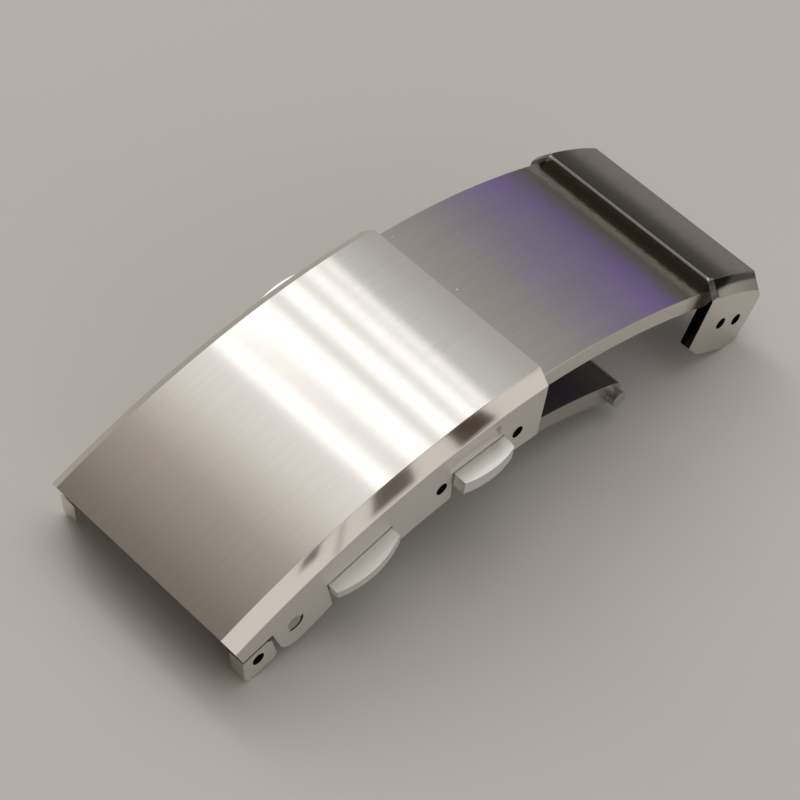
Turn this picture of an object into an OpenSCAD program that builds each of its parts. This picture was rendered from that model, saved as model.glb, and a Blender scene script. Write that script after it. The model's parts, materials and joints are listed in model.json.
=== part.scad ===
// Folding watch clasp with a slide-out extension, folded shut and with the extension drawn out.
// The cover, the plate and the cap share one arc, whose axis runs across the wrist, along Y.
// Places along the arc are lengths on the pin circle. Heights are depths below the brushed top.
// Near means the -Y side and far the +Y side. The blades fold at the -X end, the closed end.

/* [Arc and width] */
// Radius of the brushed top, which follows the wrist
top_r = 63.2; // [60:0.1:70]
// Width over the cover's side walls
body_w = 20; // [19:0.1:24]
// Angle of the cover's open end from the upright, which levels the clasp on its feet
open_end_a = 1.03; // [-2:0.01:3]
// Depth of the circle that the pins lie on
pin_depth = 4.4; // [4.3:0.05:4.6]

/* [Cover] */
// Length of the cover along its brushed top
cover_len = 32; // [31:0.1:36]
// Depth of the side walls' lower edge
cover_depth = 6.5; // [6.3:0.05:7]
// Thickness of the cover's roof
roof_t = 1.1; // [0.9:0.05:1.15]
// Thickness of the side walls
wall_t = 1.05; // [0.9:0.05:1.3]
// Width of the polished bevel, seen from above
bevel_w = 1.12; // [0.6:0.02:1.3]
// Drop of the polished bevel
bevel_drop = 1.15; // [0.8:0.05:1.4]
// Width of the step in each wall that the extension plate runs on
ledge_w = 0.17; // [0.1:0.01:0.25]
// Length of the notch above each lug
notch_len = 2.8; // [2.6:0.05:3]
// Gap between a lug's top and the notch's upper edge
notch_gap = 0.25; // [0.15:0.01:0.3]
// Radius of the corner of each hinge ear
ear_round = 1.6; // [1.2:0.05:1.8]
// Drop of the hinge ears below the walls' lower edge
ear_drop = 0.55; // [0.3:0.05:0.8]
// Length of the ear's level foot
ear_foot_len = 2.1; // [1.5:0.1:2.6]
// Length of the slope from the ear's foot back to the wall
ear_slope_len = 3.2; // [2:0.1:4]

/* [Pins] */
// Diameter of the hinge pin
hinge_pin_d = 1.2; // [1:0.05:1.4]
// Place of the hinge pin, from the closed end
hinge_in = 4.6; // [4.5:0.05:4.8]
// Diameter of the two bridge pins
bridge_pin_d = 1; // [0.8:0.05:1.1]
// Place of the outer bridge pin, from the open end
outer_pin_in = 2.57; // [2.4:0.01:2.7]
// Place of the inner bridge pin, from the open end
inner_pin_in = 10.4; // [10.3:0.05:10.8]
// Depth that a bridge pin's end lies inside its hole
pin_recess = 0.35; // [0.1:0.05:0.6]

/* [Blades] */
// Radius of the blades' bow, tighter than the wrist arc
blade_bow_r = 48; // [44:0.5:52]
// Thickness of the blades at mid length
blade_t = 1.5; // [1.3:0.05:1.6]
// Offset between the bows of the upper and lower face, which thickens the blades towards the fold
blade_taper = 0.9; // [0:0.1:1.2]
// Drop from the hinge pin to the blades' middle line
blade_drop = 1.6; // [1.6:0.05:1.8]
// Rise from the fold pin to the blades' middle line
blade_rise = 0.35; // [0.3:0.05:0.5]
// Width of each side bar of the outer blade
bar_w = 3.4; // [3:0.1:4]
// Radius of the outer blade's hinge barrel
barrel_r = 1.1; // [1:0.05:1.15]
// Radius of the knuckles on the fold pin
knuckle_r = 1.03; // [0.95:0.01:1.1]
// Diameter of the fold pin
fold_pin_d = 1; // [0.8:0.05:1.1]
// Diameter of the fold pin's heads
fold_head_d = 1.45; // [1.3:0.05:2]
// Length of the fold pin's heads
fold_head_len = 0.8; // [0.6:0.05:1.1]
// Reach of the fold pin beyond the cover's open end
fold_reach = 11.6; // [11:0.1:12]
// Depth of the fold pin
fold_depth = 9.2; // [9.1:0.05:9.5]

/* [Lug fork] */
// Place of the lug hole, from the cover's closed end
lug_hole_in = 0.96; // [0.9:0.01:1.1]
// Diameter of the lug hole
lug_hole_d = 1.05; // [0.9:0.05:1.2]
// Angle between the lug's top and the arc's tangent at its hole
lug_tilt = 7.5; // [6:0.1:9]
// Length of the lug's top beyond its hole
lug_out = 1.22; // [1:0.01:1.4]
// Distance that the lug's end leans out towards its foot
lug_lean = 0.4; // [0.2:0.05:0.5]
// Length of the lug behind its hole
lug_back = 1.5; // [1.3:0.01:1.55]
// Height of the lug's top above its hole
lug_rise = 1.08; // [1:0.01:1.15]
// Drop of the lug's foot, which the closed end stands on, below its hole
lug_drop = 1.69; // [1.6:0.01:1.8]
// Length of the lug's cut corners
lug_cut = 0.35; // [0.2:0.05:0.4]
// Thickness of each lug
lug_t = 1.5; // [1.2:0.05:1.8]
// Thickness of the plate between the lugs
fork_t = 0.6; // [0.5:0.05:0.7]

/* [Release] */
// Place of the middle of the release buttons, from the closed end
release_in = 11.24; // [11.1:0.02:11.4]
// Width of the release buttons' slots
release_slot_w = 6.46; // [6.2:0.02:6.6]
// Depth of the release slots' upper edge
release_slot_depth = 3.85; // [3.75:0.05:4]
// Reach of the release buttons beyond the wall
release_reach = 1.55; // [1.2:0.05:1.7]
// Radius of the catch post's head
post_head_r = 1.15; // [0.9:0.05:1.2]
// Radius of the catch post's neck
post_neck_r = 0.7; // [0.5:0.05:0.75]
// Thickness of the catch post's head
post_head_t = 0.45; // [0.35:0.05:0.5]
// Thickness of the hooks that grip the post
hook_t = 0.6; // [0.5:0.05:0.6]
// Width of the hooks across the clasp
hook_w = 1.4; // [1:0.05:1.6]

/* [Extension] */
// Travel of the extension plate, on the pin circle
travel = 19; // [17:0.1:19.2]
// Thickness of the extension plate
plate_t = 1.6; // [1.5:0.05:1.7]
// Length of the plate that stays inside the cover when it is drawn out
plate_tail = 10.3; // [10:0.05:10.5]
// Length of the plate's tongue inside the end cap
tongue_len = 2.9; // [2:0.1:3.2]
// Width that the tongue is narrower than the plate on each side
tongue_step = 0.14; // [0.12:0.01:0.3]
// Place of the middle of the extension buttons, from the open end
ext_in = 6.7; // [6.6:0.01:6.75]
// Width of the extension buttons' slots
ext_slot_w = 5.3; // [5.2:0.05:5.5]
// Depth of the extension slots' upper edge
ext_slot_depth = 3.5; // [3.5:0.05:3.6]
// Reach of the extension buttons beyond the wall
ext_reach = 1.65; // [1.2:0.05:1.7]
// Depth of the upper edge of the finger hollow above each extension button
hollow_depth = 2; // [1.9:0.05:2.4]
// Width of the finger hollow
hollow_w = 5.1; // [4.5:0.1:5.2]
// Distance that the finger hollow lies nearer the closed end than its button
hollow_shift = 0.35; // [0:0.05:0.5]
// Distance that the finger hollow goes into the wall
hollow_cut = 0.5; // [0.3:0.05:0.6]
// Drop from the finger hollow's upper edge to its deepest line
hollow_lip = 0.3; // [0.1:0.05:0.5]
// Width of each locking tooth along the clasp
tooth_w = 1; // [0.8:0.05:1.2]
// Thickness of each locking tooth across the clasp
tooth_t = 0.8; // [0.6:0.05:0.9]
// Distance from the middle of a button to each of its teeth
tooth_out = 1.8; // [1.6:0.05:1.85]
// Distance from the wall's inside to the teeth
tooth_inset = 1.35; // [1.3:0.05:1.5]
// Depth of the groove under the plate that the teeth run in
groove_depth = 0.7; // [0.5:0.05:0.8]

/* [Buttons and springs] */
// Travel of each button
press = 0.9; // [0.6:0.05:0.95]
// Radius of the curved front of each button
crown_r = 8; // [7:0.5:12]
// Radius of the rounded ends of each button
tab_end_r = 3.4; // [3:0.1:4]
// Distance that a button's front leans in from top to foot
tab_lean = 0.1; // [0:0.05:0.7]
// Depth of the underside of the buttons, inside the cover and outside it
slider_depth = 5; // [4.9:0.05:5]
// Length of an extension button's slider inside the wall
ext_slider_len = 4.35; // [4:0.05:4.5]
// Thickness of the bridge's pegs that the release springs push on
peg_t = 0.6; // [0.5:0.05:0.8]
// Width of the bridge's block between the extension springs
block_w = 2.4; // [2:0.1:2.6]
// Length of a release spring's pocket in its slider
release_pocket = 2.6; // [2.2:0.1:3]
// Length of an extension spring's pocket in its slider
ext_pocket = 2.8; // [2.4:0.1:3]
// Outer diameter of the springs
spring_d = 0.9; // [0.7:0.05:0.95]
// Diameter of the spring wire
spring_wire_d = 0.16; // [0.1:0.01:0.2]
// Number of coils in a release spring
release_coils = 5; // [4:1:7]
// Number of coils in an extension spring
ext_coils = 8; // [5:1:10]

/* [End cap] */
// Length of the cap along its brushed top
cap_len = 6.93; // [6.6:0.01:7.2]
// Radius of the cap's top, tighter than the arc, so that it falls away to the back
cap_crown_r = 32.5; // [30:0.5:60]
// Drop of the cap's top below the cover's top
cap_step = 0.2; // [0.1:0.05:0.3]
// Width that the cap is narrower than the cover on each side
cap_inset = 0.1; // [0:0.05:0.3]
// Thickness of the cap's cheeks
cheek_t = 0.95; // [0.8:0.05:0.95]
// Diameter of the strap pin holes in the cheeks
strap_hole_d = 1; // [0.8:0.05:1.2]
// Place of the inner strap pin hole, from the cap's front
strap_hole_in = 3.2; // [3:0.05:3.4]
// Distance between the two strap pin holes
strap_hole_pitch = 2.29; // [2:0.01:2.4]
// Reach of the polished cut on the cap's front corners below the bevel
cap_corner = 0.3; // [0.1:0.05:0.5]
// Angle that the cut turns forward from the bevel
cap_corner_a = 20; // [10:1:35]
// Length of the cheeks behind the cap's front
cheek_len = 7.5; // [7.2:0.1:8]

/* [Clearances] */
// Gap between sliding faces of the plate, the roof and the bridge
slide_gap = 0.1; // [0.06:0.01:0.12]
// Gap at each side of the plate and the bridge
side_gap = 0.08; // [0.05:0.01:0.1]
// Gap between the blades and what they swing past
blade_gap = 0.15; // [0.1:0.01:0.2]
// Radial gap of a pin that turns in its bore
turn_gap = 0.04; // [0.02:0.01:0.06]
// Radial gap of a pin that is fixed in its bore
seat_gap = 0.01; // [0.01:0.01:0.02]
// Gap left between the hooks and the post's head, so that the blades open in the model
bite_gap = 0.06; // [0.05:0.01:0.1]
// Gap between the retracted cap and the cover
end_gap = 0.1; // [0.05:0.01:0.15]

/* [Hidden] */

// Fineness of the large arcs and of the small round pieces
arc_fn = 360;
round_fn = 64;
$fn = round_fn;
// Steps a turn and sides round the wire of the springs
coil_steps = 12;
wire_sides = 6;
// Overlap that joins the parts of one piece
join = 0.2;
// Length of a cut that passes right out of a piece
clear = 10;
// Angle that a turned blank runs past the piece cut from it
spare_a = 2;

// Radii about the arc's axis
pin_r = top_r - pin_depth;
roof_in_r = top_r - roof_t;
wall_foot_r = top_r - cover_depth;
bevel_foot_r = top_r - bevel_drop;
ear_foot_r = wall_foot_r - ear_drop;
plate_top_r = roof_in_r - slide_gap;
plate_in_r = plate_top_r - plate_t;
ledge_r = plate_in_r - slide_gap;
bridge_t = ledge_r - (top_r - ext_slot_depth);
bridge_in_r = ledge_r - bridge_t;
fork_top_r = pin_r - barrel_r - blade_gap - join;
fork_foot_r = fork_top_r - fork_t;
slider_r = top_r - slider_depth;
release_top_r = top_r - release_slot_depth - slide_gap;
ext_top_r = bridge_in_r - slide_gap;
tooth_top_r = plate_in_r + groove_depth - slide_gap;
fold_r = top_r - fold_depth;
cap_top_r = top_r - cap_step;
spring_r = slider_r + spring_d / 2 + side_gap;

// Half widths from the middle plane
half_w = body_w / 2;
wall_in = half_w - wall_t;
guide_half = wall_in + ledge_w;
plate_half = guide_half - side_gap;
bridge_half = wall_in - side_gap;
blade_half = wall_in - blade_gap;
bar_in = blade_half - bar_w;
inner_half = bar_in - side_gap;
lug_in = half_w - lug_t;
cap_half = half_w - cap_inset;
cheek_in = cap_half - cheek_t;
tongue_half = plate_half - tongue_step;

// Angle that a length on the pin circle spans
function along(len) = len / pin_r * 180 / PI;
// Point on the arc's circle of radius r, at angle a from the upright, leaning to +X
function polar(a, r) = [r * sin(a), r * cos(a)];

// Angles of places along the arc
closed_end_a = open_end_a - cover_len / top_r * 180 / PI;
notch_a = closed_end_a + along(notch_len);
hinge_a = closed_end_a + along(hinge_in);
release_a = closed_end_a + along(release_in);
ext_a = open_end_a - along(ext_in);
outer_pin_a = open_end_a - along(outer_pin_in);
inner_pin_a = open_end_a - along(inner_pin_in);
fold_a = open_end_a + along(fold_reach);
lug_hole_a = closed_end_a + along(lug_hole_in);
cap_front_a = open_end_a + along(travel + end_gap);
cap_back_a = cap_front_a + cap_len / cap_top_r * 180 / PI;
plate_tail_a = open_end_a - along(plate_tail);
tongue_a = cap_front_a + along(tongue_len);
strap_hole_1_a = cap_front_a + along(strap_hole_in);
strap_hole_2_a = strap_hole_1_a + along(strap_hole_pitch);
travel_a = along(travel);

// Slope of the lugs' top and foot, and the place of the foot's outer corner beyond the hole
lug_slope = -lug_hole_a - lug_tilt;
lug_end = lug_out + lug_lean;

// The clasp stands on its lugs and cheeks at z = 0
floor_drop = pin_r * cos(lug_hole_a) - lug_drop * cos(lug_slope) - (lug_end - lug_cut) * sin(lug_slope);

// Middle line of the blades: an arc from under the hinge pin to above the fold pin
blade_start = polar(hinge_a, pin_r - blade_drop);
blade_end = polar(fold_a, fold_r + blade_rise);
blade_chord = blade_end - blade_start;
blade_len = norm(blade_chord);
blade_bow_h = sqrt(blade_bow_r * blade_bow_r - blade_len * blade_len / 4);
blade_c = (blade_start + blade_end) / 2
  + [blade_chord.y, -blade_chord.x] / blade_len * blade_bow_h;

// Sliders: half widths along the clasp, and places across it
release_half = release_slot_w / 2 - slide_gap;
ext_half = ext_slot_w / 2 - slide_gap;
hook_in = post_head_r + bite_gap;
hook_end = hook_in + hook_w;
arm_in = post_head_r + bite_gap + join + press * sin(-release_a);
lane_x = (release_half + arm_in) / 2;
peg_half = (spring_d + side_gap) / 2;
peg_out = hook_end + 2 * press;
release_slider_in = peg_out + press;
spring_room = spring_d / 2 + 2 * side_gap;
release_seat = release_slider_in + release_pocket;
block_half = block_w / 2;
ext_slider_in = wall_in - ext_slider_len;
ext_seat = ext_slider_in + ext_pocket;
tab_in = blade_half + side_gap + press;
tooth_far = wall_in - tooth_inset;
tooth_near = tooth_far - tooth_t;
groove_out = tooth_far + side_gap;
groove_in = tooth_near - press - side_gap;
pocket_out = groove_out + press;
sleeve_r = 0.9;
sleeve_web_half = 0.65;
bridge_start_gap = 0.55;
bridge_end_in = 0.4;
bridge_rib_w = 1.2;
fork_step_in = 0.3;

// Cheek outline behind the cap's front: lengths on the pin circle and depths below the top
nose_depth = 6.25;
nose_len = 1.85;
nose_foot_depth = 7.2;
belly_len = cheek_len - 1.8;
belly_depth = 7.38;
cheek_foot_a = cap_front_a + along(cheek_len - 0.85);
cheek_foot_r = floor_drop / cos(cheek_foot_a);
cheek_heel_depth = 6.6;
cheek_back_depth = 3.5;
cheek_shoulder = [cheek_len - 0.1, 2.35];
cheek_top = [cheek_len - 0.8, 1.7];

// The middle of the clasp's length, from the roof's end to the cheeks' shoulders, lies at x = 0
shoulder_a = cap_front_a + along(cheek_shoulder.x);
axis_x = (-top_r * sin(closed_end_a) - (top_r - cheek_shoulder.y) * sin(shoulder_a)) / 2;

// Puts a drawing of the XZ plane about the arc's axis and gives it width from y0 to y1
module slab(y0, y1) {
  translate([axis_x, y1, -floor_drop])
    rotate([90, 0, 0])
      linear_extrude(height = y1 - y0)
        children();
}

// Turns a drawing of radius against width from angle a0 to angle a1, about the arc's axis or about c
module revolve(a0, a1, c = [0, 0]) {
  translate([axis_x + c.x, 0, c.y - floor_drop])
    rotate([90, 0, 0])
      rotate([0, 0, 90 - a1])
        rotate_extrude(angle = a1 - a0, $fn = arc_fn)
          children();
}

// Moves to angle a on the arc, with Z along the radius, so that z is the radius itself
module at_angle(a) {
  translate([axis_x, 0, -floor_drop])
    rotate([0, a, 0])
      children();
}

// A round bar across the clasp at angle a and radius r
module cross_bar(a, r, d, y0, y1) {
  at_angle(a)
    translate([0, y1, r])
      rotate([90, 0, 0])
        cylinder(d = d, h = y1 - y0);
}

// The child and its mirror image on the other side of the middle plane
module both_sides() {
  children();
  mirror([0, 1, 0])
    children();
}

// Wedge of the XZ plane from angle a0 to angle a1
module wedge(a0, a1) {
  reach = 2 * top_r;
  polygon([[0, 0], polar(a0, reach), polar(a1, reach)]);
}

// Part of a ring in the XZ plane
module band(r0, r1, a0, a1) {
  intersection() {
    difference() {
      circle(r = r1, $fn = arc_fn);
      circle(r = r0, $fn = arc_fn);
    }
    wedge(a0, a1);
  }
}

module arc_plate(r0, r1, y0, y1, a0, a1) {
  slab(y0, y1)
    band(r0, r1, a0, a1);
}

// Drawing of the XZ plane with its origin at the lug hole and its X along the lug's top
module at_lug() {
  translate(polar(lug_hole_a, pin_r))
    rotate(lug_slope)
      children();
}

// Section of the cover: bevelled roof, side walls and the ledges for the plate
module cover_section() {
  deep_r = ear_foot_r - join;
  side = [
    [top_r, half_w - bevel_w], [bevel_foot_r, half_w], [deep_r, half_w], [deep_r, wall_in],
    [ledge_r, wall_in], [ledge_r, guide_half], [roof_in_r, guide_half]
  ];
  polygon(concat(side, [for (i = [len(side) - 1:-1:0]) [side[i].x, -side[i].y]]));
}

// Side view of the cover: the wall, the hinge ear with its rounded corner, and the notch
module cover_outline() {
  ear_corner_a = notch_a + along(ear_round);
  ear_level_a = ear_corner_a + along(ear_foot_len);
  ear_end_a = ear_level_a + along(ear_slope_len);
  difference() {
    union() {
      band(ear_foot_r + ear_round, top_r + join, closed_end_a, open_end_a);
      band(wall_foot_r, pin_r, ear_corner_a, open_end_a);
      translate(polar(ear_corner_a, ear_foot_r + ear_round))
        circle(r = ear_round);
      polygon([
        polar(notch_a, pin_r), polar(notch_a, ear_foot_r + ear_round),
        polar(ear_corner_a, ear_foot_r), polar(ear_level_a, ear_foot_r),
        polar(ear_end_a, wall_foot_r), polar(ear_end_a, pin_r)
      ]);
    }
    intersection() {
      at_lug()
        translate([-clear, lug_rise + notch_gap - clear])
          square([2 * clear, clear]);
      wedge(closed_end_a - clear, notch_a);
    }
  }
}

// Slot for a button: through both walls and open at their lower edge
module button_slot(a, w, slot_r) {
  at_angle(a)
    translate([-w / 2, -body_w / 2 - join, slot_r - clear])
      cube([w, body_w + 2 * join, clear]);
}

// Finger hollow above an extension button: a short flank in, and a long one out to the slot
module finger_hollow() {
  hollow_r = top_r - hollow_depth;
  foot_r = top_r - ext_slot_depth + slide_gap;
  at_angle(ext_a)
    translate([-hollow_shift, 0, 0])
      rotate([90, 0, 90])
        linear_extrude(height = hollow_w, center = true)
          polygon([
            [half_w, hollow_r], [half_w - hollow_cut, hollow_r - hollow_lip], [half_w, foot_r],
            [half_w + join, foot_r], [half_w + join, hollow_r]
          ]);
}

module cover_shell() {
  color([0.74, 0.71, 0.66])
    difference() {
      intersection() {
        revolve(closed_end_a - spare_a, open_end_a + spare_a)
          cover_section();
        slab(-body_w, body_w)
          cover_outline();
      }
      button_slot(release_a, release_slot_w, top_r - release_slot_depth);
      button_slot(ext_a, ext_slot_w, top_r - ext_slot_depth);
      both_sides()
        finger_hollow();
      cross_bar(hinge_a, pin_r, hinge_pin_d + 2 * seat_gap, -body_w, body_w);
      cross_bar(inner_pin_a, pin_r, bridge_pin_d + 2 * seat_gap, -body_w, body_w);
      cross_bar(outer_pin_a, pin_r, bridge_pin_d + 2 * seat_gap, -body_w, body_w);
    }
}

module bridge_pin(a) {
  pin_half = half_w - pin_recess;
  color([0.45, 0.44, 0.42])
    cross_bar(a, pin_r, bridge_pin_d, -pin_half, pin_half);
}

module bridge_pin_inner() {
  bridge_pin(inner_pin_a);
}

module bridge_pin_outer() {
  bridge_pin(outer_pin_a);
}

module hinge_pin() {
  color([0.66, 0.63, 0.59])
    cross_bar(hinge_a, pin_r, hinge_pin_d, -half_w, half_w);
}

// Sleeve of the bridge round one of its pins, with the web up to the plate
module bridge_sleeve(a) {
  cross_bar(a, pin_r, 2 * sleeve_r, -bridge_half, bridge_half);
  arc_plate(pin_r, bridge_in_r + join, -bridge_half, bridge_half,
    a - along(sleeve_web_half), a + along(sleeve_web_half));
}

// Peg of the bridge that a release spring pushes on
module spring_peg() {
  at_angle(release_a)
    translate([lane_x - peg_half + side_gap, -peg_out, slider_r])
      cube([2 * peg_half - 2 * side_gap, peg_t, bridge_in_r + join - slider_r]);
}

// Turns the child half round about the catch post
module across_post() {
  translate([axis_x, 0, -floor_drop])
    rotate([0, release_a, 0])
      rotate([0, 0, 180])
        rotate([0, -release_a, 0])
          translate([-axis_x, 0, floor_drop])
            children();
}

module bridge_plate() {
  start_a = hinge_a + along(barrel_r + bridge_start_gap);
  end_a = open_end_a - along(bridge_end_in);
  pocket_0 = release_a - along(release_slot_w / 2);
  pocket_1 = release_a + along(release_slot_w / 2);
  color([0.52, 0.51, 0.49])
    difference() {
      union() {
        arc_plate(bridge_in_r, ledge_r, -bridge_half, bridge_half, start_a, end_a);
        arc_plate(slider_r, bridge_in_r + join, -bridge_half, bridge_half, start_a, pocket_0);
        arc_plate(slider_r, bridge_in_r + join, -bridge_half, bridge_half,
          pocket_1, pocket_1 + along(bridge_rib_w));
        bridge_sleeve(inner_pin_a);
        bridge_sleeve(outer_pin_a);
        arc_plate(slider_r, bridge_in_r + join, -block_half, block_half,
          ext_a - along(block_half), ext_a + along(block_half));
        spring_peg();
        across_post()
          spring_peg();
      }
      cross_bar(inner_pin_a, pin_r, bridge_pin_d + 2 * seat_gap, -body_w, body_w);
      cross_bar(outer_pin_a, pin_r, bridge_pin_d + 2 * seat_gap, -body_w, body_w);
      both_sides()
        arc_plate(slider_r, ledge_r + join, groove_in, groove_out,
          ext_a - along(tooth_out + tooth_w / 2 + side_gap),
          ext_a + along(tooth_out + tooth_w / 2 + side_gap));
    }
}

// Side view of a blade from angle a0 to the fold
module blade_outline(a0) {
  intersection() {
    difference() {
      translate(blade_c)
        circle(r = blade_bow_r + blade_t / 2, $fn = arc_fn);
      translate(blade_c - [blade_taper, 0])
        circle(r = blade_bow_r - blade_t / 2, $fn = arc_fn);
    }
    wedge(a0, fold_a - along(join));
  }
  translate(polar(fold_a, fold_r))
    circle(r = knuckle_r);
}

module outer_blade() {
  color([0.55, 0.53, 0.5])
    difference() {
      union() {
        both_sides()
          slab(bar_in, blade_half)
            blade_outline(hinge_a - along(barrel_r - join));
        cross_bar(hinge_a, pin_r, 2 * barrel_r, -blade_half, blade_half);
      }
      cross_bar(hinge_a, pin_r, hinge_pin_d + 2 * turn_gap, -body_w, body_w);
      cross_bar(fold_a, fold_r, fold_pin_d + 2 * seat_gap, -body_w, body_w);
    }
}

module fold_pin() {
  head_in = blade_half + seat_gap;
  color([0.6, 0.58, 0.55]) {
    cross_bar(fold_a, fold_r, fold_pin_d, -head_in - join, head_in + join);
    both_sides()
      cross_bar(fold_a, fold_r, fold_head_d, head_in, head_in + fold_head_len);
  }
}

module inner_blade() {
  color([0.58, 0.56, 0.53])
    difference() {
      slab(-inner_half, inner_half)
        blade_outline(hinge_a - along(barrel_r / 2));
      cross_bar(hinge_a, pin_r, 2 * (barrel_r + blade_gap), -body_w, body_w);
      cross_bar(fold_a, fold_r, fold_pin_d + 2 * turn_gap, -body_w, body_w);
      at_angle(release_a)
        cylinder(r = post_neck_r + seat_gap, h = top_r);
    }
}

// One lug in side view: a block that leans out to its foot, with cut corners
module lug_outline() {
  at_lug()
    polygon([
      [-lug_out, lug_rise], [lug_back - lug_cut, lug_rise], [lug_back, lug_rise - lug_cut],
      [lug_back, lug_cut - lug_drop], [lug_back - lug_cut, -lug_drop],
      [lug_cut - lug_end, -lug_drop], [-lug_end, 1.5 * lug_cut - lug_drop]
    ]);
}

module lug_fork() {
  step_a = notch_a - along(fork_step_in);
  color([0.66, 0.63, 0.58])
    difference() {
      union() {
        both_sides()
          slab(lug_in, half_w)
            lug_outline();
        arc_plate(fork_foot_r, fork_top_r, -lug_in - join, lug_in + join,
          lug_hole_a, step_a);
        arc_plate(fork_foot_r, fork_top_r, -inner_half, inner_half,
          lug_hole_a, hinge_a - along(barrel_r / 2 + seat_gap));
      }
      cross_bar(lug_hole_a, pin_r, lug_hole_d, -body_w, body_w);
    }
}

module catch_post() {
  head_r = slider_r + hook_t + side_gap;
  color([0.62, 0.6, 0.57])
    at_angle(release_a) {
      translate([0, 0, slider_r - blade_t])
        cylinder(r = post_neck_r, h = head_r + join - slider_r + blade_t);
      translate([0, 0, head_r])
        cylinder(r = post_head_r, h = post_head_t);
    }
}

// Finger tab on the near side: a crowned front between two rounded ends, leaning in to its foot
module tab(reach, half_len, top, square_end) {
  h = top - slider_r;
  front = half_w + reach;
  end_c = half_len - tab_end_r + slide_gap;
  translate([0, 0, slider_r])
    intersection() {
      translate([0, crown_r - front, 0])
        cylinder(r1 = crown_r - tab_lean, r2 = crown_r, h = h, $fn = arc_fn / 2);
      translate([end_c, -half_w, 0])
        cylinder(r1 = tab_end_r - tab_lean / 2, r2 = tab_end_r, h = h, $fn = arc_fn / 2);
      if (!square_end)
        translate([-end_c, -half_w, 0])
          cylinder(r1 = tab_end_r - tab_lean / 2, r2 = tab_end_r, h = h, $fn = arc_fn / 2);
      translate([-half_len, -front, 0])
        cube([2 * half_len, front - tab_in, h]);
    }
}

// Release button on the near side, drawn about the catch post
module release_button() {
  plate_h = release_top_r - slider_r;
  difference() {
    union() {
      tab(release_reach, release_half, release_top_r, false);
      translate([-release_half, -tab_in - join, slider_r])
        cube([2 * release_half, tab_in + join - release_slider_in, plate_h]);
      translate([-release_half, -release_slider_in - join, slider_r])
        cube([release_half - arm_in, release_slider_in + join + hook_end, plate_h]);
      translate([-release_half, hook_in, slider_r])
        cube([release_half + post_head_r, hook_w, hook_t]);
    }
    translate([lane_x - spring_room, -release_seat, slider_r - join])
      cube([2 * spring_room, release_seat - release_slider_in + join, plate_h + 2 * join]);
  }
}

module release_button_near() {
  color([0.8, 0.78, 0.74])
    at_angle(release_a)
      release_button();
}

module release_button_far() {
  color([0.8, 0.78, 0.74])
    at_angle(release_a)
      rotate([0, 0, 180])
        release_button();
}

// Extension button on the near side, with two teeth for the groove under the plate
module extension_button() {
  plate_h = ext_top_r - slider_r;
  color([0.8, 0.78, 0.74])
    at_angle(ext_a)
      difference() {
        union() {
          tab(ext_reach, ext_half, ext_top_r, true);
          translate([-ext_half, -tab_in - join, slider_r])
            cube([2 * ext_half, tab_in + join - ext_slider_in, plate_h]);
          for (x = [-tooth_out, tooth_out])
            translate([x - tooth_w / 2, -tooth_far, slider_r])
              cube([tooth_w, tooth_t, tooth_top_r - slider_r]);
        }
        translate([-spring_room, -ext_seat, slider_r - join])
          cube([2 * spring_room, ext_seat - ext_slider_in + join, plate_h + 2 * join]);
      }
}

module extension_button_near() {
  extension_button();
}

module extension_button_far() {
  mirror([0, 1, 0])
    extension_button();
}

// Coil spring along -Y from its seat at the origin, one tube wound by formula
module coil_spring(len, coils) {
  wire_r = spring_wire_d / 2;
  mid_r = spring_d / 2 - wire_r;
  steps = coils * coil_steps;
  run = len - 2 * wire_r - 2 * seat_gap;
  function turn(i) = i / coil_steps * 360;
  function centre(i) = [mid_r * cos(turn(i)), -wire_r - seat_gap - run * i / steps, mid_r * sin(turn(i))];
  points = [
    for (i = [0:steps])
      for (j = [0:wire_sides - 1])
        let (u = j / wire_sides * 360)
          centre(i) + [wire_r * cos(u) * cos(turn(i)), wire_r * sin(u), wire_r * cos(u) * sin(turn(i))]
  ];
  function ring(i, j) = i * wire_sides + j % wire_sides;
  sides = [
    for (i = [0:steps - 1])
      for (j = [0:wire_sides - 1])
        each [
          [ring(i, j), ring(i, j + 1), ring(i + 1, j + 1)],
          [ring(i, j), ring(i + 1, j + 1), ring(i + 1, j)]
        ]
  ];
  first = [[for (j = [wire_sides - 1:-1:0]) ring(0, j)]];
  last = [[for (j = [0:wire_sides - 1]) ring(steps, j)]];
  polyhedron(points = points, faces = concat(sides, first, last));
}

module release_spring_near() {
  color([0.7, 0.7, 0.7])
    at_angle(release_a)
      translate([lane_x, -peg_out, spring_r])
        coil_spring(release_seat - peg_out, release_coils);
}

module release_spring_far() {
  across_post()
    release_spring_near();
}

module extension_spring_near() {
  color([0.7, 0.7, 0.7])
    at_angle(ext_a)
      translate([0, -block_half, spring_r])
        coil_spring(ext_seat - block_half, ext_coils);
}

module extension_spring_far() {
  mirror([0, 1, 0])
    extension_spring_near();
}

// Pocket beside the plate's groove that a tooth drops into, with the plate shifted by shift_a
module tooth_pocket(shift_a) {
  for (x = [-tooth_out, tooth_out])
    both_sides()
      arc_plate(plate_in_r - join, plate_in_r + groove_depth, groove_out - join, pocket_out,
        ext_a + shift_a + along(x - tooth_w / 2 - side_gap),
        ext_a + shift_a + along(x + tooth_w / 2 + side_gap));
}

module extension_plate() {
  groove_len = tooth_out + tooth_w / 2 + slide_gap;
  color([0.5, 0.46, 0.46])
    difference() {
      union() {
        arc_plate(plate_in_r, plate_top_r, -plate_half, plate_half, plate_tail_a, cap_front_a);
        arc_plate(plate_in_r, plate_top_r, -tongue_half, tongue_half,
          cap_front_a - along(join), tongue_a);
      }
      both_sides()
        arc_plate(plate_in_r - join, plate_in_r + groove_depth, groove_in, groove_out,
          ext_a - along(groove_len), ext_a + travel_a + along(groove_len));
      tooth_pocket(0);
      tooth_pocket(travel_a);
    }
}

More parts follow.
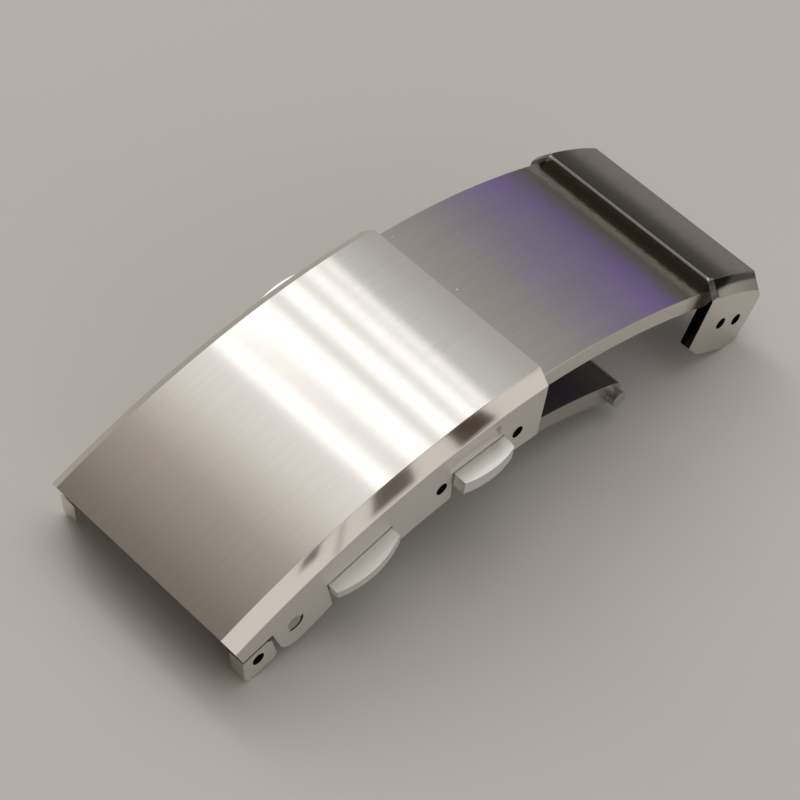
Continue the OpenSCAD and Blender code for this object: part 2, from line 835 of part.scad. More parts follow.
// Section of the end cap about its crown's own axis: the bevelled outside
module cap_section() {
  deep_r = cap_crown_r - clear;
  side = [
    [cap_crown_r, cap_half - bevel_w], [cap_crown_r - bevel_drop, cap_half], [deep_r, cap_half]
  ];
  polygon(concat(side, [for (i = [len(side) - 1:-1:0]) [side[i].x, -side[i].y]]));
}

// Side view of the end cap: upright front, pointed nose and rounded back
module cap_outline() {
  polygon([
    polar(cap_front_a, top_r - nose_depth),
    polar(cap_front_a, top_r + join),
    polar(cap_back_a, top_r + join),
    polar(cap_front_a + along(cheek_top.x), top_r - cheek_top.y),
    polar(shoulder_a, top_r - cheek_shoulder.y),
    polar(cap_front_a + along(cheek_len), top_r - cheek_back_depth),
    polar(cap_front_a + along(cheek_len), top_r - cheek_heel_depth),
    polar(cheek_foot_a, cheek_foot_r),
    polar(cap_front_a + along(belly_len), top_r - belly_depth),
    polar(cap_front_a + along(nose_len), top_r - nose_foot_depth)
  ]);
}

// Room between the cheeks and under the cap's roof, which follows the extension plate's arc
module cap_room() {
  roof_r = plate_top_r + seat_gap;
  revolve(cap_front_a - spare_a, cap_back_a + spare_a)
    translate([roof_r - clear, -cheek_in])
      square([clear, 2 * cheek_in]);
}

// Small polished cut across the front end of each bevel
module cap_corner_cut() {
  both_sides()
    at_angle(cap_front_a)
      translate([0, cap_half, cap_top_r - bevel_drop - cap_corner])
        rotate([-atan2(bevel_drop, bevel_w), 0, 0])
          rotate([0, -cap_corner_a, 0])
            translate([-clear, -clear, 0])
              cube([2 * clear, 2 * clear, clear]);
}

module end_cap() {
  crown_c = polar(cap_front_a, cap_top_r - cap_crown_r);
  crown_end_a = cap_front_a + 2 * cap_len / cap_crown_r * 180 / PI;
  color([0.4, 0.38, 0.35])
    difference() {
      intersection() {
        revolve(cap_front_a - spare_a, crown_end_a, crown_c)
          cap_section();
        slab(-body_w, body_w)
          cap_outline();
      }
      cap_room();
      cap_corner_cut();
      cross_bar(strap_hole_1_a, pin_r, strap_hole_d, -body_w, body_w);
      cross_bar(strap_hole_2_a, pin_r, strap_hole_d, -body_w, body_w);
    }
}

cover_shell();
bridge_plate();
bridge_pin_inner();
bridge_pin_outer();
hinge_pin();
outer_blade();
fold_pin();
inner_blade();
lug_fork();
catch_post();
release_button_near();
release_button_far();
release_spring_near();
release_spring_far();
extension_button_near();
extension_button_far();
extension_spring_near();
extension_spring_far();
extension_plate();
end_cap();
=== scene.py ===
# Folding watch clasp: finishes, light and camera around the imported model
import json
import math

import bpy
from mathutils import Matrix, Vector


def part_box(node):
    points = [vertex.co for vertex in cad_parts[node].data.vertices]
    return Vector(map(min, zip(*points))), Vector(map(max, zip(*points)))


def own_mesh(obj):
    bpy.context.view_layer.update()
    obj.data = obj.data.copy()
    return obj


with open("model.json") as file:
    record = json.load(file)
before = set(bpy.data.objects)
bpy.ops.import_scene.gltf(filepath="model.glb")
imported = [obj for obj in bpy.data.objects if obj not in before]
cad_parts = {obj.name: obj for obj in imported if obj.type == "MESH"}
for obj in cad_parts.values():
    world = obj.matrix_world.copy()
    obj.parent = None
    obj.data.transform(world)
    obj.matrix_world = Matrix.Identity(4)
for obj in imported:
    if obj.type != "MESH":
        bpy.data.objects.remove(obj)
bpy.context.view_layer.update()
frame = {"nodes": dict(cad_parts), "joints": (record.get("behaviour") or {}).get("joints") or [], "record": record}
NODES = frame["nodes"]
JOINTS = {joint["name"]: joint for joint in frame["joints"]}
MM = 0.001
DEGREES = 180 / math.pi

# The arc that the cover, the plate and the cap share, from the joint that turns about its axis
ARC_X = JOINTS["extension_slide"]["pos_m"][0]
ARC_Z = JOINTS["extension_slide"]["pos_m"][2]

# Shapes that the finishes follow: lengths in mm, and angles along the arc in degrees
COVER_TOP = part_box("cover_shell")[1]
HALF_W = COVER_TOP.y / MM
TOP_R = (COVER_TOP.z - ARC_Z) / MM
BEVEL_W = 1.12
OPEN_END = 1.03
PLATE_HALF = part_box("extension_plate")[1].y / MM
BLADE_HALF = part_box("outer_blade")[1].y / MM
CAP_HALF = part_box("end_cap")[1].y / MM
CAP_FRONT = 19.64
CAP_TOP_R = TOP_R - 0.2
CAP_BEVEL_W = 1.12
# Fall of the cap's crown below its circle about the arc's axis, in mm by the square of degrees
CAP_FALL = 0.0092

# Pin holes, by their places in the frame, and the colours of the shade painted in holes and seams
HINGE_X = JOINTS["blade_hinge"]["pos_m"][0]
HINGE_Z = JOINTS["blade_hinge"]["pos_m"][2]
BRIDGE_PINS = [(sum(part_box(n), Vector()) / 2).xz for n in ("bridge_pin_inner", "bridge_pin_outer")]
MOUNTS = {m["name"]: (m["pos_m"][0], m["pos_m"][2]) for m in frame["record"]["mounts"]}
BORE_R = 0.53
BORE_SOFT = 0.02
PAINTED_SHADE = (0.03, 0.028, 0.026)
SEAM_SHADE = (0.02, 0.018, 0.016)

# Camera
EYE = Vector((-120.277, -93.952, 172.821)) * MM
AZIMUTH = math.radians(-51.661)
ELEVATION = math.radians(48.270)
ROLL = math.radians(9.954)
LENS = 134.17
SENSOR = 36
SHIFT_X = -0.0063
SHIFT_Y = 0.0083
NEAREST = 0.005
FARTHEST = 20


def make_camera():
    data = bpy.data.cameras.new("camera")
    data.lens = LENS
    data.sensor_width = SENSOR
    data.shift_x = SHIFT_X
    data.shift_y = SHIFT_Y
    data.clip_start = NEAREST
    data.clip_end = FARTHEST
    camera = bpy.data.objects.new("camera", data)
    back = Vector((
        math.sin(AZIMUTH) * math.cos(ELEVATION),
        -math.cos(AZIMUTH) * math.cos(ELEVATION),
        math.sin(ELEVATION),
    ))
    level = Vector((math.cos(AZIMUTH), math.sin(AZIMUTH), 0))
    up = back.cross(level)
    right = level * math.cos(ROLL) + up * math.sin(ROLL)
    up = back.cross(right)
    turn = Matrix((right, up, back)).transposed()
    camera.matrix_world = Matrix.Translation(EYE) @ turn.to_4x4()
    bpy.context.scene.collection.objects.link(camera)
    bpy.context.scene.camera = camera


# Light: strips that the brushed top mirrors as white bands. Each band has its place and its width
# in degrees along the arc. The mirrored ray turns MIRROR_RATE degrees for each of them.
BANDS = (-13.2, 1.2), (-9.9, 1.8), (-7.2, 1.2), (-5.15, 1.0), (-3.85, 0.7)
MIRROR_RATE = 2.28
STRIP_DISTANCE = 0.9
STRIP_LENGTH = 0.5
STRIP_RADIANCE = 0.85
WHITE = (1, 1, 1)

# One key lamp behind the part, for the soft shadow on the near side
KEY_DIRECTION = Vector((0.175, 0.72, 0.67)).normalized()
KEY_DISTANCE = 0.9
KEY_WIDTH = 0.045
KEY_LENGTH = 0.4
KEY_RADIANCE = 9.0
KEY_COLOUR = (1, 0.99, 0.97)
ALONG = Vector((1, 0, 0))


def area_light(name, place, aim, size_x, size_y, radiance, colour):
    """Rectangular lamp that faces aim, with size_x measured along the part."""
    data = bpy.data.lights.new(name, "AREA")
    data.shape = "RECTANGLE"
    data.size = size_x
    data.size_y = size_y
    data.energy = radiance * math.pi * size_x * size_y
    data.color = colour
    lamp = bpy.data.objects.new(name, data)
    back = (place - aim).normalized()
    across = (ALONG - back * ALONG.dot(back)).normalized()
    turn = Matrix((across, back.cross(across), back)).transposed()
    lamp.matrix_world = Matrix.Translation(place) @ turn.to_4x4()
    bpy.context.scene.collection.objects.link(lamp)


def make_lights():
    for i, (angle, width) in enumerate(BANDS):
        a = math.radians(angle)
        normal = Vector((math.sin(a), 0, math.cos(a)))
        point = Vector((ARC_X, 0, ARC_Z)) + normal * TOP_R * MM
        view = (EYE - point).normalized()
        mirrored = normal * 2 * normal.dot(view) - view
        strip_w = STRIP_DISTANCE * math.radians(width) * MIRROR_RATE
        area_light(f"strip_{i}", point + mirrored * STRIP_DISTANCE, point,
                   strip_w, STRIP_LENGTH, STRIP_RADIANCE, WHITE)
    area_light("key", KEY_DIRECTION * KEY_DISTANCE, Vector((0, 0, 0)),
               KEY_WIDTH, KEY_LENGTH, KEY_RADIANCE, KEY_COLOUR)


class Graph:
    """Short names for the nodes that the world and the finishes share."""

    def __init__(self, tree):
        self.nodes = tree.nodes
        self.links = tree.links
        self.nodes.clear()

    def put(self, socket, value):
        if hasattr(value, "is_linked"):
            self.links.new(value, socket)
        else:
            socket.default_value = value

    def math(self, operation, a, b=0.0, clamp=False):
        node = self.nodes.new("ShaderNodeMath")
        node.operation = operation
        node.use_clamp = clamp
        for socket, value in zip(node.inputs, (a, b)):
            self.put(socket, value)
        return node.outputs[0]

    def plus(self, a, b, clamp=False):
        return self.math("ADD", a, b, clamp)

    def minus(self, a, b, clamp=False):
        return self.math("SUBTRACT", a, b, clamp)

    def times(self, first, *others):
        for value in others:
            first = self.math("MULTIPLY", first, value)
        return first

    def over(self, a, b):
        return self.math("DIVIDE", a, b)

    def length(self, x, z):
        return self.math("SQRT", self.plus(self.times(x, x), self.times(z, z)))

    def combine(self, x, y, z):
        node = self.nodes.new("ShaderNodeCombineXYZ")
        for socket, value in zip(node.inputs, (x, y, z)):
            self.put(socket, value)
        return node.outputs[0]

    def split(self, vector):
        node = self.nodes.new("ShaderNodeSeparateXYZ")
        self.links.new(vector, node.inputs[0])
        return node.outputs

    def ramp(self, fac, *stops):
        node = self.nodes.new("ShaderNodeValToRGB")
        elements = node.color_ramp.elements
        while len(elements) < len(stops):
            elements.new(0.5)
        for element, (place, colour) in zip(elements, stops):
            element.position = place
            element.color = (*colour, 1) if isinstance(colour, tuple) else (colour,) * 3 + (1,)
        self.put(node.inputs["Fac"], fac)
        return node.outputs["Color"]

    def span(self, value, low, high, to_low=0.0, to_high=1.0):
        """Runs from to_low at low to to_high at high, and stays level beyond them."""
        node = self.nodes.new("ShaderNodeMapRange")
        node.clamp = True
        for name, v in (("Value", value), ("From Min", low), ("From Max", high),
                        ("To Min", to_low), ("To Max", to_high)):
            self.put(node.inputs[name], v)
        return node.outputs["Result"]

    def window(self, value, centre, half, soft):
        """1 within half of centre, falling to 0 over soft beyond it."""
        away = self.math("ABSOLUTE", self.minus(value, centre))
        return self.span(away, half, half + soft, 1.0, 0.0)

    def mix(self, fac, a, b, blend="MIX"):
        node = self.nodes.new("ShaderNodeMix")
        node.data_type = "RGBA"
        node.blend_type = blend
        self.put(node.inputs["Factor"], fac)
        for socket, value in ((node.inputs[6], a), (node.inputs[7], b)):
            self.put(socket, (*value, 1) if isinstance(value, tuple) else value)
        return node.outputs[2]

    def blend_value(self, fac, a, b):
        node = self.nodes.new("ShaderNodeMix")
        node.data_type = "FLOAT"
        self.put(node.inputs[0], fac)
        self.put(node.inputs[2], a)
        self.put(node.inputs[3], b)
        return node.outputs[0]

    def noise(self, vector, scale, detail, rough):
        node = self.nodes.new("ShaderNodeTexNoise")
        self.put(node.inputs["Vector"], vector)
        self.put(node.inputs["Scale"], scale)
        self.put(node.inputs["Detail"], detail)
        self.put(node.inputs["Roughness"], rough)
        return node.outputs["Fac"]


# Studio: colour of the sky by its angle in degrees from the upright towards +X
SKY_STRENGTH = 1.4
SKY = (
    (-60, (0.035, 0.030, 0.026)), (-27, (0.175, 0.150, 0.128)), (-12, (0.39, 0.35, 0.31)),
    (-1, (0.73, 0.70, 0.67)), (5, (0.80, 0.79, 0.78)), (11, (0.72, 0.71, 0.70)),
    (18, (0.78, 0.77, 0.76)), (23, (0.81, 0.80, 0.79)), (27, (0.60, 0.59, 0.58)),
    (33, (0.54, 0.53, 0.52)), (39, (0.38, 0.365, 0.35)), (48, (0.345, 0.33, 0.315)),
    (58, (0.24, 0.23, 0.22)), (70, (0.20, 0.19, 0.18)), (75, (0.06, 0.055, 0.05)),
    (84, (0.075, 0.07, 0.064)), (90, (0.075, 0.07, 0.064)),
)
HORIZON = 90
# The sky's share by the direction's y: half of it to the front, and more again to the back
SKY_TO_FRONT = (-0.5, -0.05, 0.5, 1.0)
SKY_TO_BACK = (0.6, 0.85, 0.0, 1.3)
# A wall to the front, by the direction's y, and its upper end by the direction's z
FRONT_WALL = (0.64, 0.61, 0.585)
WALL_FACE = (-0.72, -0.6, 1.0, 0.0)
WALL_END = (0.55, 0.65, 1.0, 0.0)
# Dark gaps in the wall: place and half width in degrees from -Y towards +X, foot as the
# direction's z, and depth
FRONT_GAPS = (
    (1.2, 1.3, 0.43, 0.85), (6.3, 0.3, 0.30, 0.5), (14.6, 3.1, 0.385, 0.9), (27.2, 2.7, 0.35, 1.0),
)
GAP_DARK = (0.06, 0.042, 0.03)
GAP_SIDE_SOFT = 0.3
GAP_FOOT_SOFT = 0.02


def make_world():
    world = bpy.data.worlds.new("studio")
    world.use_nodes = True
    g = Graph(world.node_tree)
    out = g.nodes.new("ShaderNodeOutputWorld")
    back = g.nodes.new("ShaderNodeBackground")
    x, y, z = g.split(g.nodes.new("ShaderNodeTexCoord").outputs["Generated"])
    lean = g.times(g.math("ARCTAN2", x, z), DEGREES)
    stops = [((place + HORIZON) / (2 * HORIZON), colour) for place, colour in SKY]
    sky = g.ramp(g.span(lean, -HORIZON, HORIZON), *stops)
    bearing = g.times(g.math("ARCTAN2", x, g.times(y, -1.0)), DEGREES)
    gaps = 0.0
    for place, half, foot, depth in FRONT_GAPS:
        above = g.times(g.span(z, foot - GAP_FOOT_SOFT, foot + GAP_FOOT_SOFT), depth)
        gap = g.times(g.window(bearing, place, half, GAP_SIDE_SOFT), above)
        gaps = g.math("MAXIMUM", gaps, gap)
    wall = g.mix(gaps, FRONT_WALL, GAP_DARK)
    share = g.plus(g.span(y, *SKY_TO_FRONT), g.span(y, *SKY_TO_BACK))
    sky = g.mix(1.0, sky, g.combine(share, share, share), "MULTIPLY")
    front = g.times(g.span(y, *WALL_FACE), g.span(z, *WALL_END))
    g.links.new(g.mix(front, sky, wall), back.inputs["Color"])
    back.inputs["Strength"].default_value = SKY_STRENGTH
    g.links.new(back.outputs[0], out.inputs["Surface"])
    bpy.context.scene.world = world


# Brushed grain: fine and coarse counts a mm, lengths in mm, and each one's share of the whole.
# Each noise has its scale, its detail and its roughness.
FINE_COUNT = 14.0
FINE_LENGTH = 5.0
FINE_SHARE = 0.65
FINE_NOISE = (1.0, 3.0, 0.6)
COARSE_COUNT = 1.6
COARSE_LENGTH = 30.0
COARSE_SHARE = 0.35
COARSE_PLACE = 7.3
COARSE_NOISE = (1.0, 2.0, 0.5)
GRAIN_DEPTH = 0.02
# A quarter turn, so that highlights spread across the lines
GRAIN_TURN = 0.25
TONE_RANGE = (0.3, 0.7)
ROUGH_RANGE = (0.25, 0.75)
# Bounds of a mask, in mm inside the face that it covers
SIDE_SKIN = (0.06, 0.02)
TOP_SKIN = (0.10, 0.03)
PLATE_SKIN = (0.08, 0.03)


class Maker(Graph):
    """Builds one node material around a Principled shader."""

    def __init__(self, name):
        self.material = bpy.data.materials.new(name)
        self.material.use_nodes = True
        super().__init__(self.material.node_tree)
        out = self.nodes.new("ShaderNodeOutputMaterial")
        self.shader = self.nodes.new("ShaderNodeBsdfPrincipled")
        self.links.new(self.shader.outputs[0], out.inputs["Surface"])
        self.coord = self.nodes.new("ShaderNodeTexCoord").outputs["Object"]

    def set(self, **values):
        for name, value in values.items():
            self.put(self.shader.inputs[name.replace("_", " ").title()], value)

    def bump(self, height, strength):
        node = self.nodes.new("ShaderNodeBump")
        self.put(node.inputs["Height"], height)
        node.inputs["Strength"].default_value = strength
        node.inputs["Distance"].default_value = GRAIN_DEPTH * MM
        self.links.new(node.outputs[0], self.shader.inputs["Normal"])

    def arc(self):
        """Angle along the arc in degrees, run along it, radius and width in mm, and the tangent."""
        px, py, pz = self.split(self.coord)
        x = self.minus(px, ARC_X)
        z = self.minus(pz, ARC_Z)
        angle = self.math("ARCTAN2", x, z)
        self.degrees = self.times(angle, DEGREES)
        self.run = self.times(angle, TOP_R)
        self.radius = self.over(self.length(x, z), MM)
        self.width = self.over(py, MM)
        self.side = self.math("ABSOLUTE", self.width)
        self.tangent = self.combine(z, 0.0, self.times(x, -1.0))

    def around(self, x, z):
        """Distance in mm from the line across the part at x, z, and the offsets in metres."""
        px, py, pz = self.split(self.coord)
        across = self.minus(px, x)
        up = self.minus(pz, z)
        return self.over(self.length(across, up), MM), across, up

    def shade_bores(self, tone, *places):
        """Paints shade inside the pin holes at the given places, darkening the tone."""
        for x, z in places:
            inside = self.span(self.around(x, z)[0], BORE_R, BORE_R + BORE_SOFT, 1.0, 0.0)
            tone = self.mix(inside, tone, PAINTED_SHADE)
        return tone

    def on_side(self, half, skin=SIDE_SKIN):
        """1 on the flat faces that stand half away from the middle."""
        return self.span(self.side, half - skin[0], half - skin[1])

    def neither(self, a, b):
        """1 where neither mask holds."""
        return self.minus(self.minus(1.0, a), b, clamp=True)

    def across_bevel(self, half, bevel):
        """Place across a side bevel, from -1 at its inner edge to 1 at its outer edge."""
        return self.over(self.minus(self.side, half - bevel / 2), bevel / 2)

    def bulge(self, half, bevel, rise):
        """Height, in the bump's own units, of a side bevel that bulges by rise."""
        t = self.across_bevel(half, bevel)
        left = self.minus(1.0, self.times(t, t), clamp=True)
        return self.plus(0.5, self.times(left, rise))

    def grain(self):
        """Brushed lines along the arc, fine and coarse together."""
        fine = self.noise(
            self.combine(self.over(self.run, FINE_LENGTH), self.times(self.width, FINE_COUNT),
                         self.times(self.radius, FINE_COUNT)), *FINE_NOISE)
        coarse = self.noise(
            self.combine(self.over(self.run, COARSE_LENGTH), self.times(self.width, COARSE_COUNT),
                         COARSE_PLACE), *COARSE_NOISE)
        return self.plus(self.times(fine, FINE_SHARE), self.times(coarse, COARSE_SHARE))


def steel(name, colour, dark=0.86, rough=(0.22, 0.4), anisotropy=0.7, bump=0.12, masks=None):
    """Brushed steel with its grain along the arc. The tone runs from colour down to its share
    dark, and rough holds the least and the most roughness. A function given as
    masks(maker, tone, roughness, lay, height) may change the tone, the roughness, the
    anisotropy and the bump."""
    m = Maker(name)
    m.arc()
    height = m.grain()
    shade = tuple(c * dark for c in colour)
    tone = m.mix(m.span(height, *TONE_RANGE), shade, colour)
    roughness = m.span(height, *ROUGH_RANGE, rough[1], rough[0])
    lay = anisotropy
    if masks:
        tone, roughness, lay, height = masks(m, tone, roughness, lay, height)
    m.shader.inputs["Anisotropic"].default_value = anisotropy
    m.set(base_color=tone, roughness=roughness, anisotropic=lay, tangent=m.tangent)
    m.shader.inputs["Metallic"].default_value = 1
    m.shader.inputs["Anisotropic Rotation"].default_value = GRAIN_TURN
    m.bump(height, bump)
    return m.material


# Cover: lengthwise brushed top, polished bevels, satin walls, with painted shade in pin holes and a painted shadow
# beside the hinge pin
BEVEL_DARK = (0.60, 0.565, 0.52)
BEVEL_LIGHT = (0.70, 0.67, 0.63)
BEVEL_ROUGH = (0.05, 0.1)
BEVEL_RISE = 8.0
SMEAR_NOISE = (350.0, 3.0, 0.6)
WALL_TONE = (0.67, 0.645, 0.605)
WALL_ROUGHER = 0.26
# Painted shadow: a dark crescent beside the hinge pin: radius, half width and soft edge, and the side it is on
CRESCENT_SHADOW_RING = (0.75, 0.12, 0.03)
CRESCENT_SHADOW_START = 0.25 * MM
CRESCENT_SHADOW_FULL = 0.5 * MM


def cover_masks(m, tone, roughness, lay, height):
    on_top = m.span(m.radius, TOP_R - TOP_SKIN[0], TOP_R - TOP_SKIN[1])
    on_wall = m.on_side(HALF_W)
    polished = m.neither(on_top, on_wall)
    smear = m.noise(m.combine(m.run, m.width, m.radius), *SMEAR_NOISE)
    bevel_tone = m.ramp(smear, (TONE_RANGE[0], BEVEL_DARK), (TONE_RANGE[1], BEVEL_LIGHT))
    tone = m.mix(polished, tone, bevel_tone)
    roughness = m.blend_value(polished, roughness, m.span(smear, *TONE_RANGE, *BEVEL_ROUGH))
    tone = m.mix(on_wall, tone, WALL_TONE)
    roughness = m.plus(roughness, m.times(on_wall, WALL_ROUGHER))
    lay = m.blend_value(polished, lay, 0.0)
    height = m.blend_value(polished, height, m.bulge(HALF_W, BEVEL_W, BEVEL_RISE))
    # Painted shade inside the holes of the bridge pins
    tone = m.shade_bores(tone, *BRIDGE_PINS)
    # Painted shadow of the gap round the hinge pin, on its lower side towards the open end
    ring, across, up = m.around(HINGE_X, HINGE_Z)
    low = m.span(m.minus(across, up), CRESCENT_SHADOW_START, CRESCENT_SHADOW_FULL)
    tone = m.mix(m.times(low, on_wall, m.window(ring, *CRESCENT_SHADOW_RING)), tone, SEAM_SHADE)
    return tone, roughness, lay, height


# Extension plate: dull satin with a violet tint towards the cap, specks, a line of residue before
# the cap, a painted shade line along the cover's edge and painted light on the sides. The tint's
# share runs from the cover to the cap.
VIOLET = (0.54, 0.40, 0.92)
TINT = (0.0, 0.0), (0.25, 0.08), (0.55, 0.6), (0.70, 1.0), (0.79, 0.9), (0.85, 0.15), (0.9, 0.0)
CLOUD_NOISE = (0.16, 2.0, 0.5)
CLOUD_RANGE = (0.25, 0.7, 0.55, 1.0)
PLATE_SIDE_PAINTED_LIGHT = (0.80, 0.77, 0.71)
SPECK = (0.95, 0.93, 0.90)
SPECK_NOISE = (1.3, 1.0, 0.3)
SPECK_RANGE = (0.80, 0.82)
SPECK_PLACE = 3.0
RESIDUE = (0.70, 0.64, 0.55)
RESIDUE_LINE = (1.35, 0.25, 0.5)
RESIDUE_SHARE = 0.8
RESIDUE_ROUGHER = 0.3
GRIT_NOISE = (2.6, 4.0, 0.7)
GRIT_RANGE = (0.3, 0.6)
GRIT_PLACE = 1.0
EDGE_SHADE_LINE = (OPEN_END + 0.07, 0.06, 0.05)
EDGE_SHADE_SHARE = 0.9


def plate_masks(m, tone, roughness, lay, height):
    along = m.span(m.degrees, OPEN_END, CAP_FRONT)
    cloud = m.noise(m.combine(m.run, m.width, 0.0), *CLOUD_NOISE)
    tint = m.times(m.ramp(along, *TINT), m.span(cloud, *CLOUD_RANGE))
    tone = m.mix(tint, tone, VIOLET)
    # Painted light: the plate's sides lighter than its top
    tone = m.mix(m.on_side(PLATE_HALF, PLATE_SKIN), tone, PLATE_SIDE_PAINTED_LIGHT)
    speck = m.noise(m.combine(m.run, m.width, SPECK_PLACE), *SPECK_NOISE)
    tone = m.mix(m.span(speck, *SPECK_RANGE), tone, SPECK)
    grit = m.noise(m.combine(m.run, m.width, GRIT_PLACE), *GRIT_NOISE)
    near_cap = m.minus(CAP_FRONT, m.degrees)
    line = m.times(m.window(near_cap, *RESIDUE_LINE), m.span(grit, *GRIT_RANGE))
    tone = m.mix(m.times(line, RESIDUE_SHARE), tone, RESIDUE)
    # Painted shade: a dark line on the plate along the cover's edge
    tone = m.mix(m.times(m.window(m.degrees, *EDGE_SHADE_LINE), EDGE_SHADE_SHARE), tone, SEAM_SHADE)
    roughness = m.plus(roughness, m.times(line, RESIDUE_ROUGHER), clamp=True)
    return tone, roughness, lay, height


# End cap: brushed top, polished bevels and front, with the top and crown painted darker, a dark
# painted reflection on the front and on each bevel, and a painted highlight along the front ridge.
# Lengths are in mm below the crown or inside the side, and places behind the front are in degrees
# along the arc.
CAP_SKIN = (0.05, 0.12, 1.0, 0.0)
CAP_POLISH = (0.60, 0.57, 0.53)
CAP_POLISH_ROUGH = 0.09
CAP_RISE = 16.0
CAP_SHADE = (0.05, 0.047, 0.043)
SHADE_RANGE = (2.0, 6.2, 0.0, 0.42)
FRONT_DARK_REFLECTION = (0.20, 0.18, 0.16)
FRONT_RANGE = (0.25, 0.4, 1.0, 0.0)
CORNER_RANGE = (0.7, 0.8, 1.0, 0.0)
CORNER_SOFT = 0.05
RIDGE_HIGHLIGHT = (0.98, 0.97, 0.95)
RIDGE_LINE = (0.03, 0.09, 0.03)
RIDGE_DEPTH = (0.12, 0.2, 1.0, 0.0)
RIDGE_ROUGH = 0.45
WEDGE_DARK_REFLECTION = (0.10, 0.095, 0.09)
WEDGE_SLOPE = 0.06
WEDGE_RANGE = (0.0, 0.25, 1.0, 0.0)
WEDGE_TOP = (-1.05, -1.0)
CHEEK_TONE = (0.66, 0.64, 0.59)


def cap_masks(m, tone, roughness, lay, height):
    behind = m.minus(m.degrees, CAP_FRONT)
    fall = m.times(behind, behind, CAP_FALL)
    depth = m.minus(m.minus(CAP_TOP_R, fall), m.radius)
    on_top = m.span(depth, *CAP_SKIN)
    on_wall = m.on_side(CAP_HALF)
    polished = m.neither(on_top, on_wall)
    tone = m.mix(polished, tone, CAP_POLISH)
    # Painted shade: the crown darker towards the back
    tone = m.mix(m.span(behind, *SHADE_RANGE), tone, CAP_SHADE)
    # Painted reflection: the polished front, and the bevels' corners at the front, dark
    bevel_start = CAP_HALF - CAP_BEVEL_W
    corner = m.times(m.span(behind, *CORNER_RANGE),
                     m.span(m.side, bevel_start - CORNER_SOFT, bevel_start))
    front = m.math("MAXIMUM", m.span(behind, *FRONT_RANGE), corner)
    tone = m.mix(m.times(front, polished), tone, FRONT_DARK_REFLECTION)
    # Painted highlight: a bright line along the front ridge
    ridge = m.times(m.window(behind, *RIDGE_LINE), m.span(depth, *RIDGE_DEPTH), m.minus(1.0, corner))
    tone = m.mix(ridge, tone, RIDGE_HIGHLIGHT)
    # Painted reflection: a dark wedge on the inner part of each side bevel, narrowing towards the back
    t = m.across_bevel(CAP_HALF, CAP_BEVEL_W)
    wedge = m.span(m.plus(t, m.times(behind, WEDGE_SLOPE)), *WEDGE_RANGE)
    wedge = m.times(wedge, m.span(t, *WEDGE_TOP), polished)
    tone = m.mix(wedge, tone, WEDGE_DARK_REFLECTION)
    tone = m.mix(on_wall, tone, CHEEK_TONE)
    # Painted shade inside the strap pins' holes
    tone = m.shade_bores(tone, MOUNTS["strap_pin_bore_inner"], MOUNTS["strap_pin_bore_outer"])
    roughness = m.blend_value(polished, roughness, CAP_POLISH_ROUGH)
    roughness = m.blend_value(ridge, roughness, RIDGE_ROUGH)
    lay = m.blend_value(polished, lay, 0.0)
    height = m.blend_value(polished, height, m.bulge(CAP_HALF, CAP_BEVEL_W, CAP_RISE))
    return tone, roughness, lay, height


# Lugs: painted shade inside their pin holes
def lug_masks(m, tone, roughness, lay, height):
    return m.shade_bores(tone, MOUNTS["lug_pin_bore"]), roughness, lay, height


# Blades and inner parts: painted shade, darker than the blades' outer sides
INSIDE_SHADE_SHARE = 0.7


def blade_masks(m, tone, roughness, lay, height):
    # Painted shade on every face but the blades' outer sides
    inside = m.mix(INSIDE_SHADE_SHARE, tone, PAINTED_SHADE)
    return m.mix(m.on_side(BLADE_HALF), inside, tone), roughness, lay, height


def dress(material, *names):
    for name in names:
        for slot in NODES[name].material_slots:
            slot.link = "OBJECT"
            slot.material = material


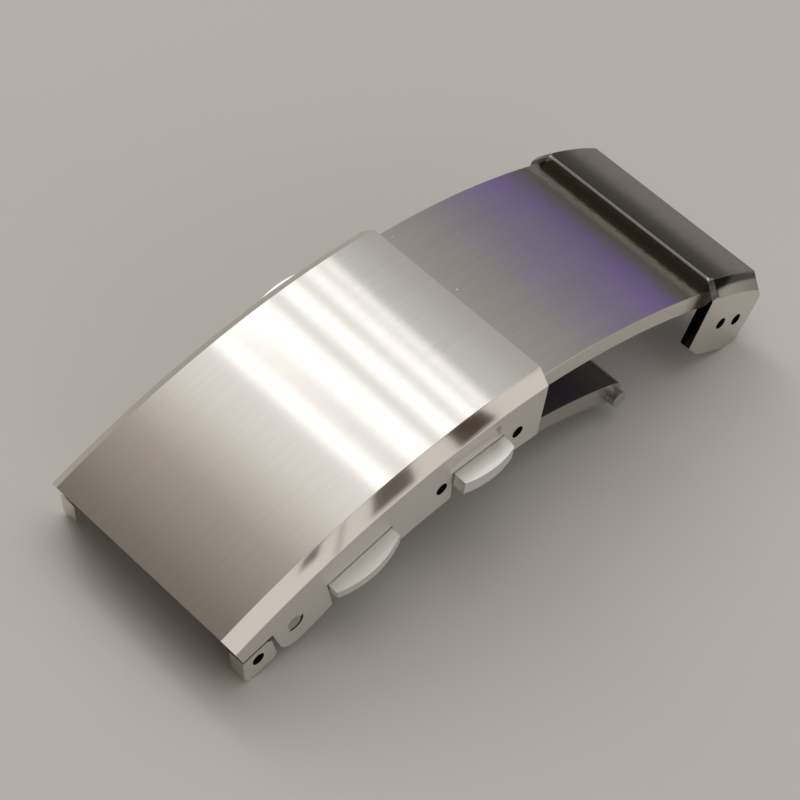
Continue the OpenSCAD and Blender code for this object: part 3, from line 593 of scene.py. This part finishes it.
def make_materials():
    dress(steel("cover_finish_and_painted_shade", (0.64, 0.62, 0.59), dark=0.93, rough=(0.11, 0.14),
                anisotropy=0.96, masks=cover_masks), "cover_shell")
    dress(steel("plate_finish_and_painted_light", (0.56, 0.53, 0.50), rough=(0.2, 0.3), anisotropy=0.8,
                masks=plate_masks), "extension_plate")
    # The cap's brushed top is painted darker than its bevels and cheeks: painted shade
    dress(steel("cap_finish_and_painted_light", (0.33, 0.31, 0.283), rough=(0.18, 0.24), anisotropy=0.8,
                masks=cap_masks), "end_cap")
    dress(steel("button_finish", (0.97, 0.96, 0.93), rough=(0.36, 0.5), anisotropy=0.2, bump=0.5),
          "release_button_near", "release_button_far", "extension_button_near",
          "extension_button_far")
    dress(steel("blade_finish_and_painted_shade", (0.50, 0.48, 0.45), rough=(0.3, 0.45), masks=blade_masks),
          "outer_blade", "inner_blade", "bridge_plate", "catch_post")
    dress(steel("lug_finish_and_painted_shade", (0.80, 0.78, 0.72), rough=(0.3, 0.45), masks=lug_masks), "lug_fork")
    dress(steel("pin_finish", (0.60, 0.58, 0.55), rough=(0.2, 0.35)), "hinge_pin", "fold_pin")
    # Painted shade: the bridge pins near black, for the dark in their holes
    dress(steel("pin_painted_shade", (0.08, 0.075, 0.07), rough=(0.45, 0.6)),
          "bridge_pin_inner", "bridge_pin_outer")
    dress(steel("wire_finish", (0.62, 0.62, 0.62)), "release_spring_near",
          "release_spring_far", "extension_spring_near", "extension_spring_far")


# Small bevels, in mm, that catch the light along the edges
EDGES = {"cover_shell": 0.07, "end_cap": 0.09, "extension_plate": 0.07}
EDGE_SEGMENTS = 2
EDGE_ANGLE = math.radians(28)


def bevel_edges():
    for name, width in EDGES.items():
        modifier = NODES[name].modifiers.new("edge", "BEVEL")
        modifier.width = width * MM
        modifier.segments = EDGE_SEGMENTS
        modifier.limit_method = "ANGLE"
        modifier.angle_limit = EDGE_ANGLE
        modifier.harden_normals = True


# The springs that the record says shorten with their buttons, from the end that stays, get meshes of their own
def squash_springs():
    for joint in frame["record"]["behaviour"]["joints"]:
        for spring in joint.get("deforming_nodes", []):
            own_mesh(NODES[spring["node"]])


# Floor
FLOOR_HALF = 1.5
FLOOR_DARK = (0.69, 0.67, 0.645)
FLOOR_LIGHT = (0.72, 0.70, 0.675)
FLOOR_ROUGH = 0.7
FLOOR_NOISE = (9.0, 3.0, 0.5)


def make_floor():
    mesh = bpy.data.meshes.new("floor")
    half = FLOOR_HALF
    corners = [(-half, -half, 0), (half, -half, 0), (half, half, 0), (-half, half, 0)]
    mesh.from_pydata(corners, [], [(0, 1, 2, 3)])
    floor = bpy.data.objects.new("floor", mesh)
    bpy.context.scene.collection.objects.link(floor)
    m = Maker("floor_finish")
    cloud = m.noise(m.coord, *FLOOR_NOISE)
    m.set(base_color=m.ramp(cloud, (TONE_RANGE[0], FLOOR_DARK), (TONE_RANGE[1], FLOOR_LIGHT)))
    m.shader.inputs["Roughness"].default_value = FLOOR_ROUGH
    mesh.materials.append(m.material)


make_camera()
make_lights()
make_world()
make_floor()
make_materials()
bevel_edges()
squash_springs()

bpy.context.scene.view_settings.view_transform = "Standard"
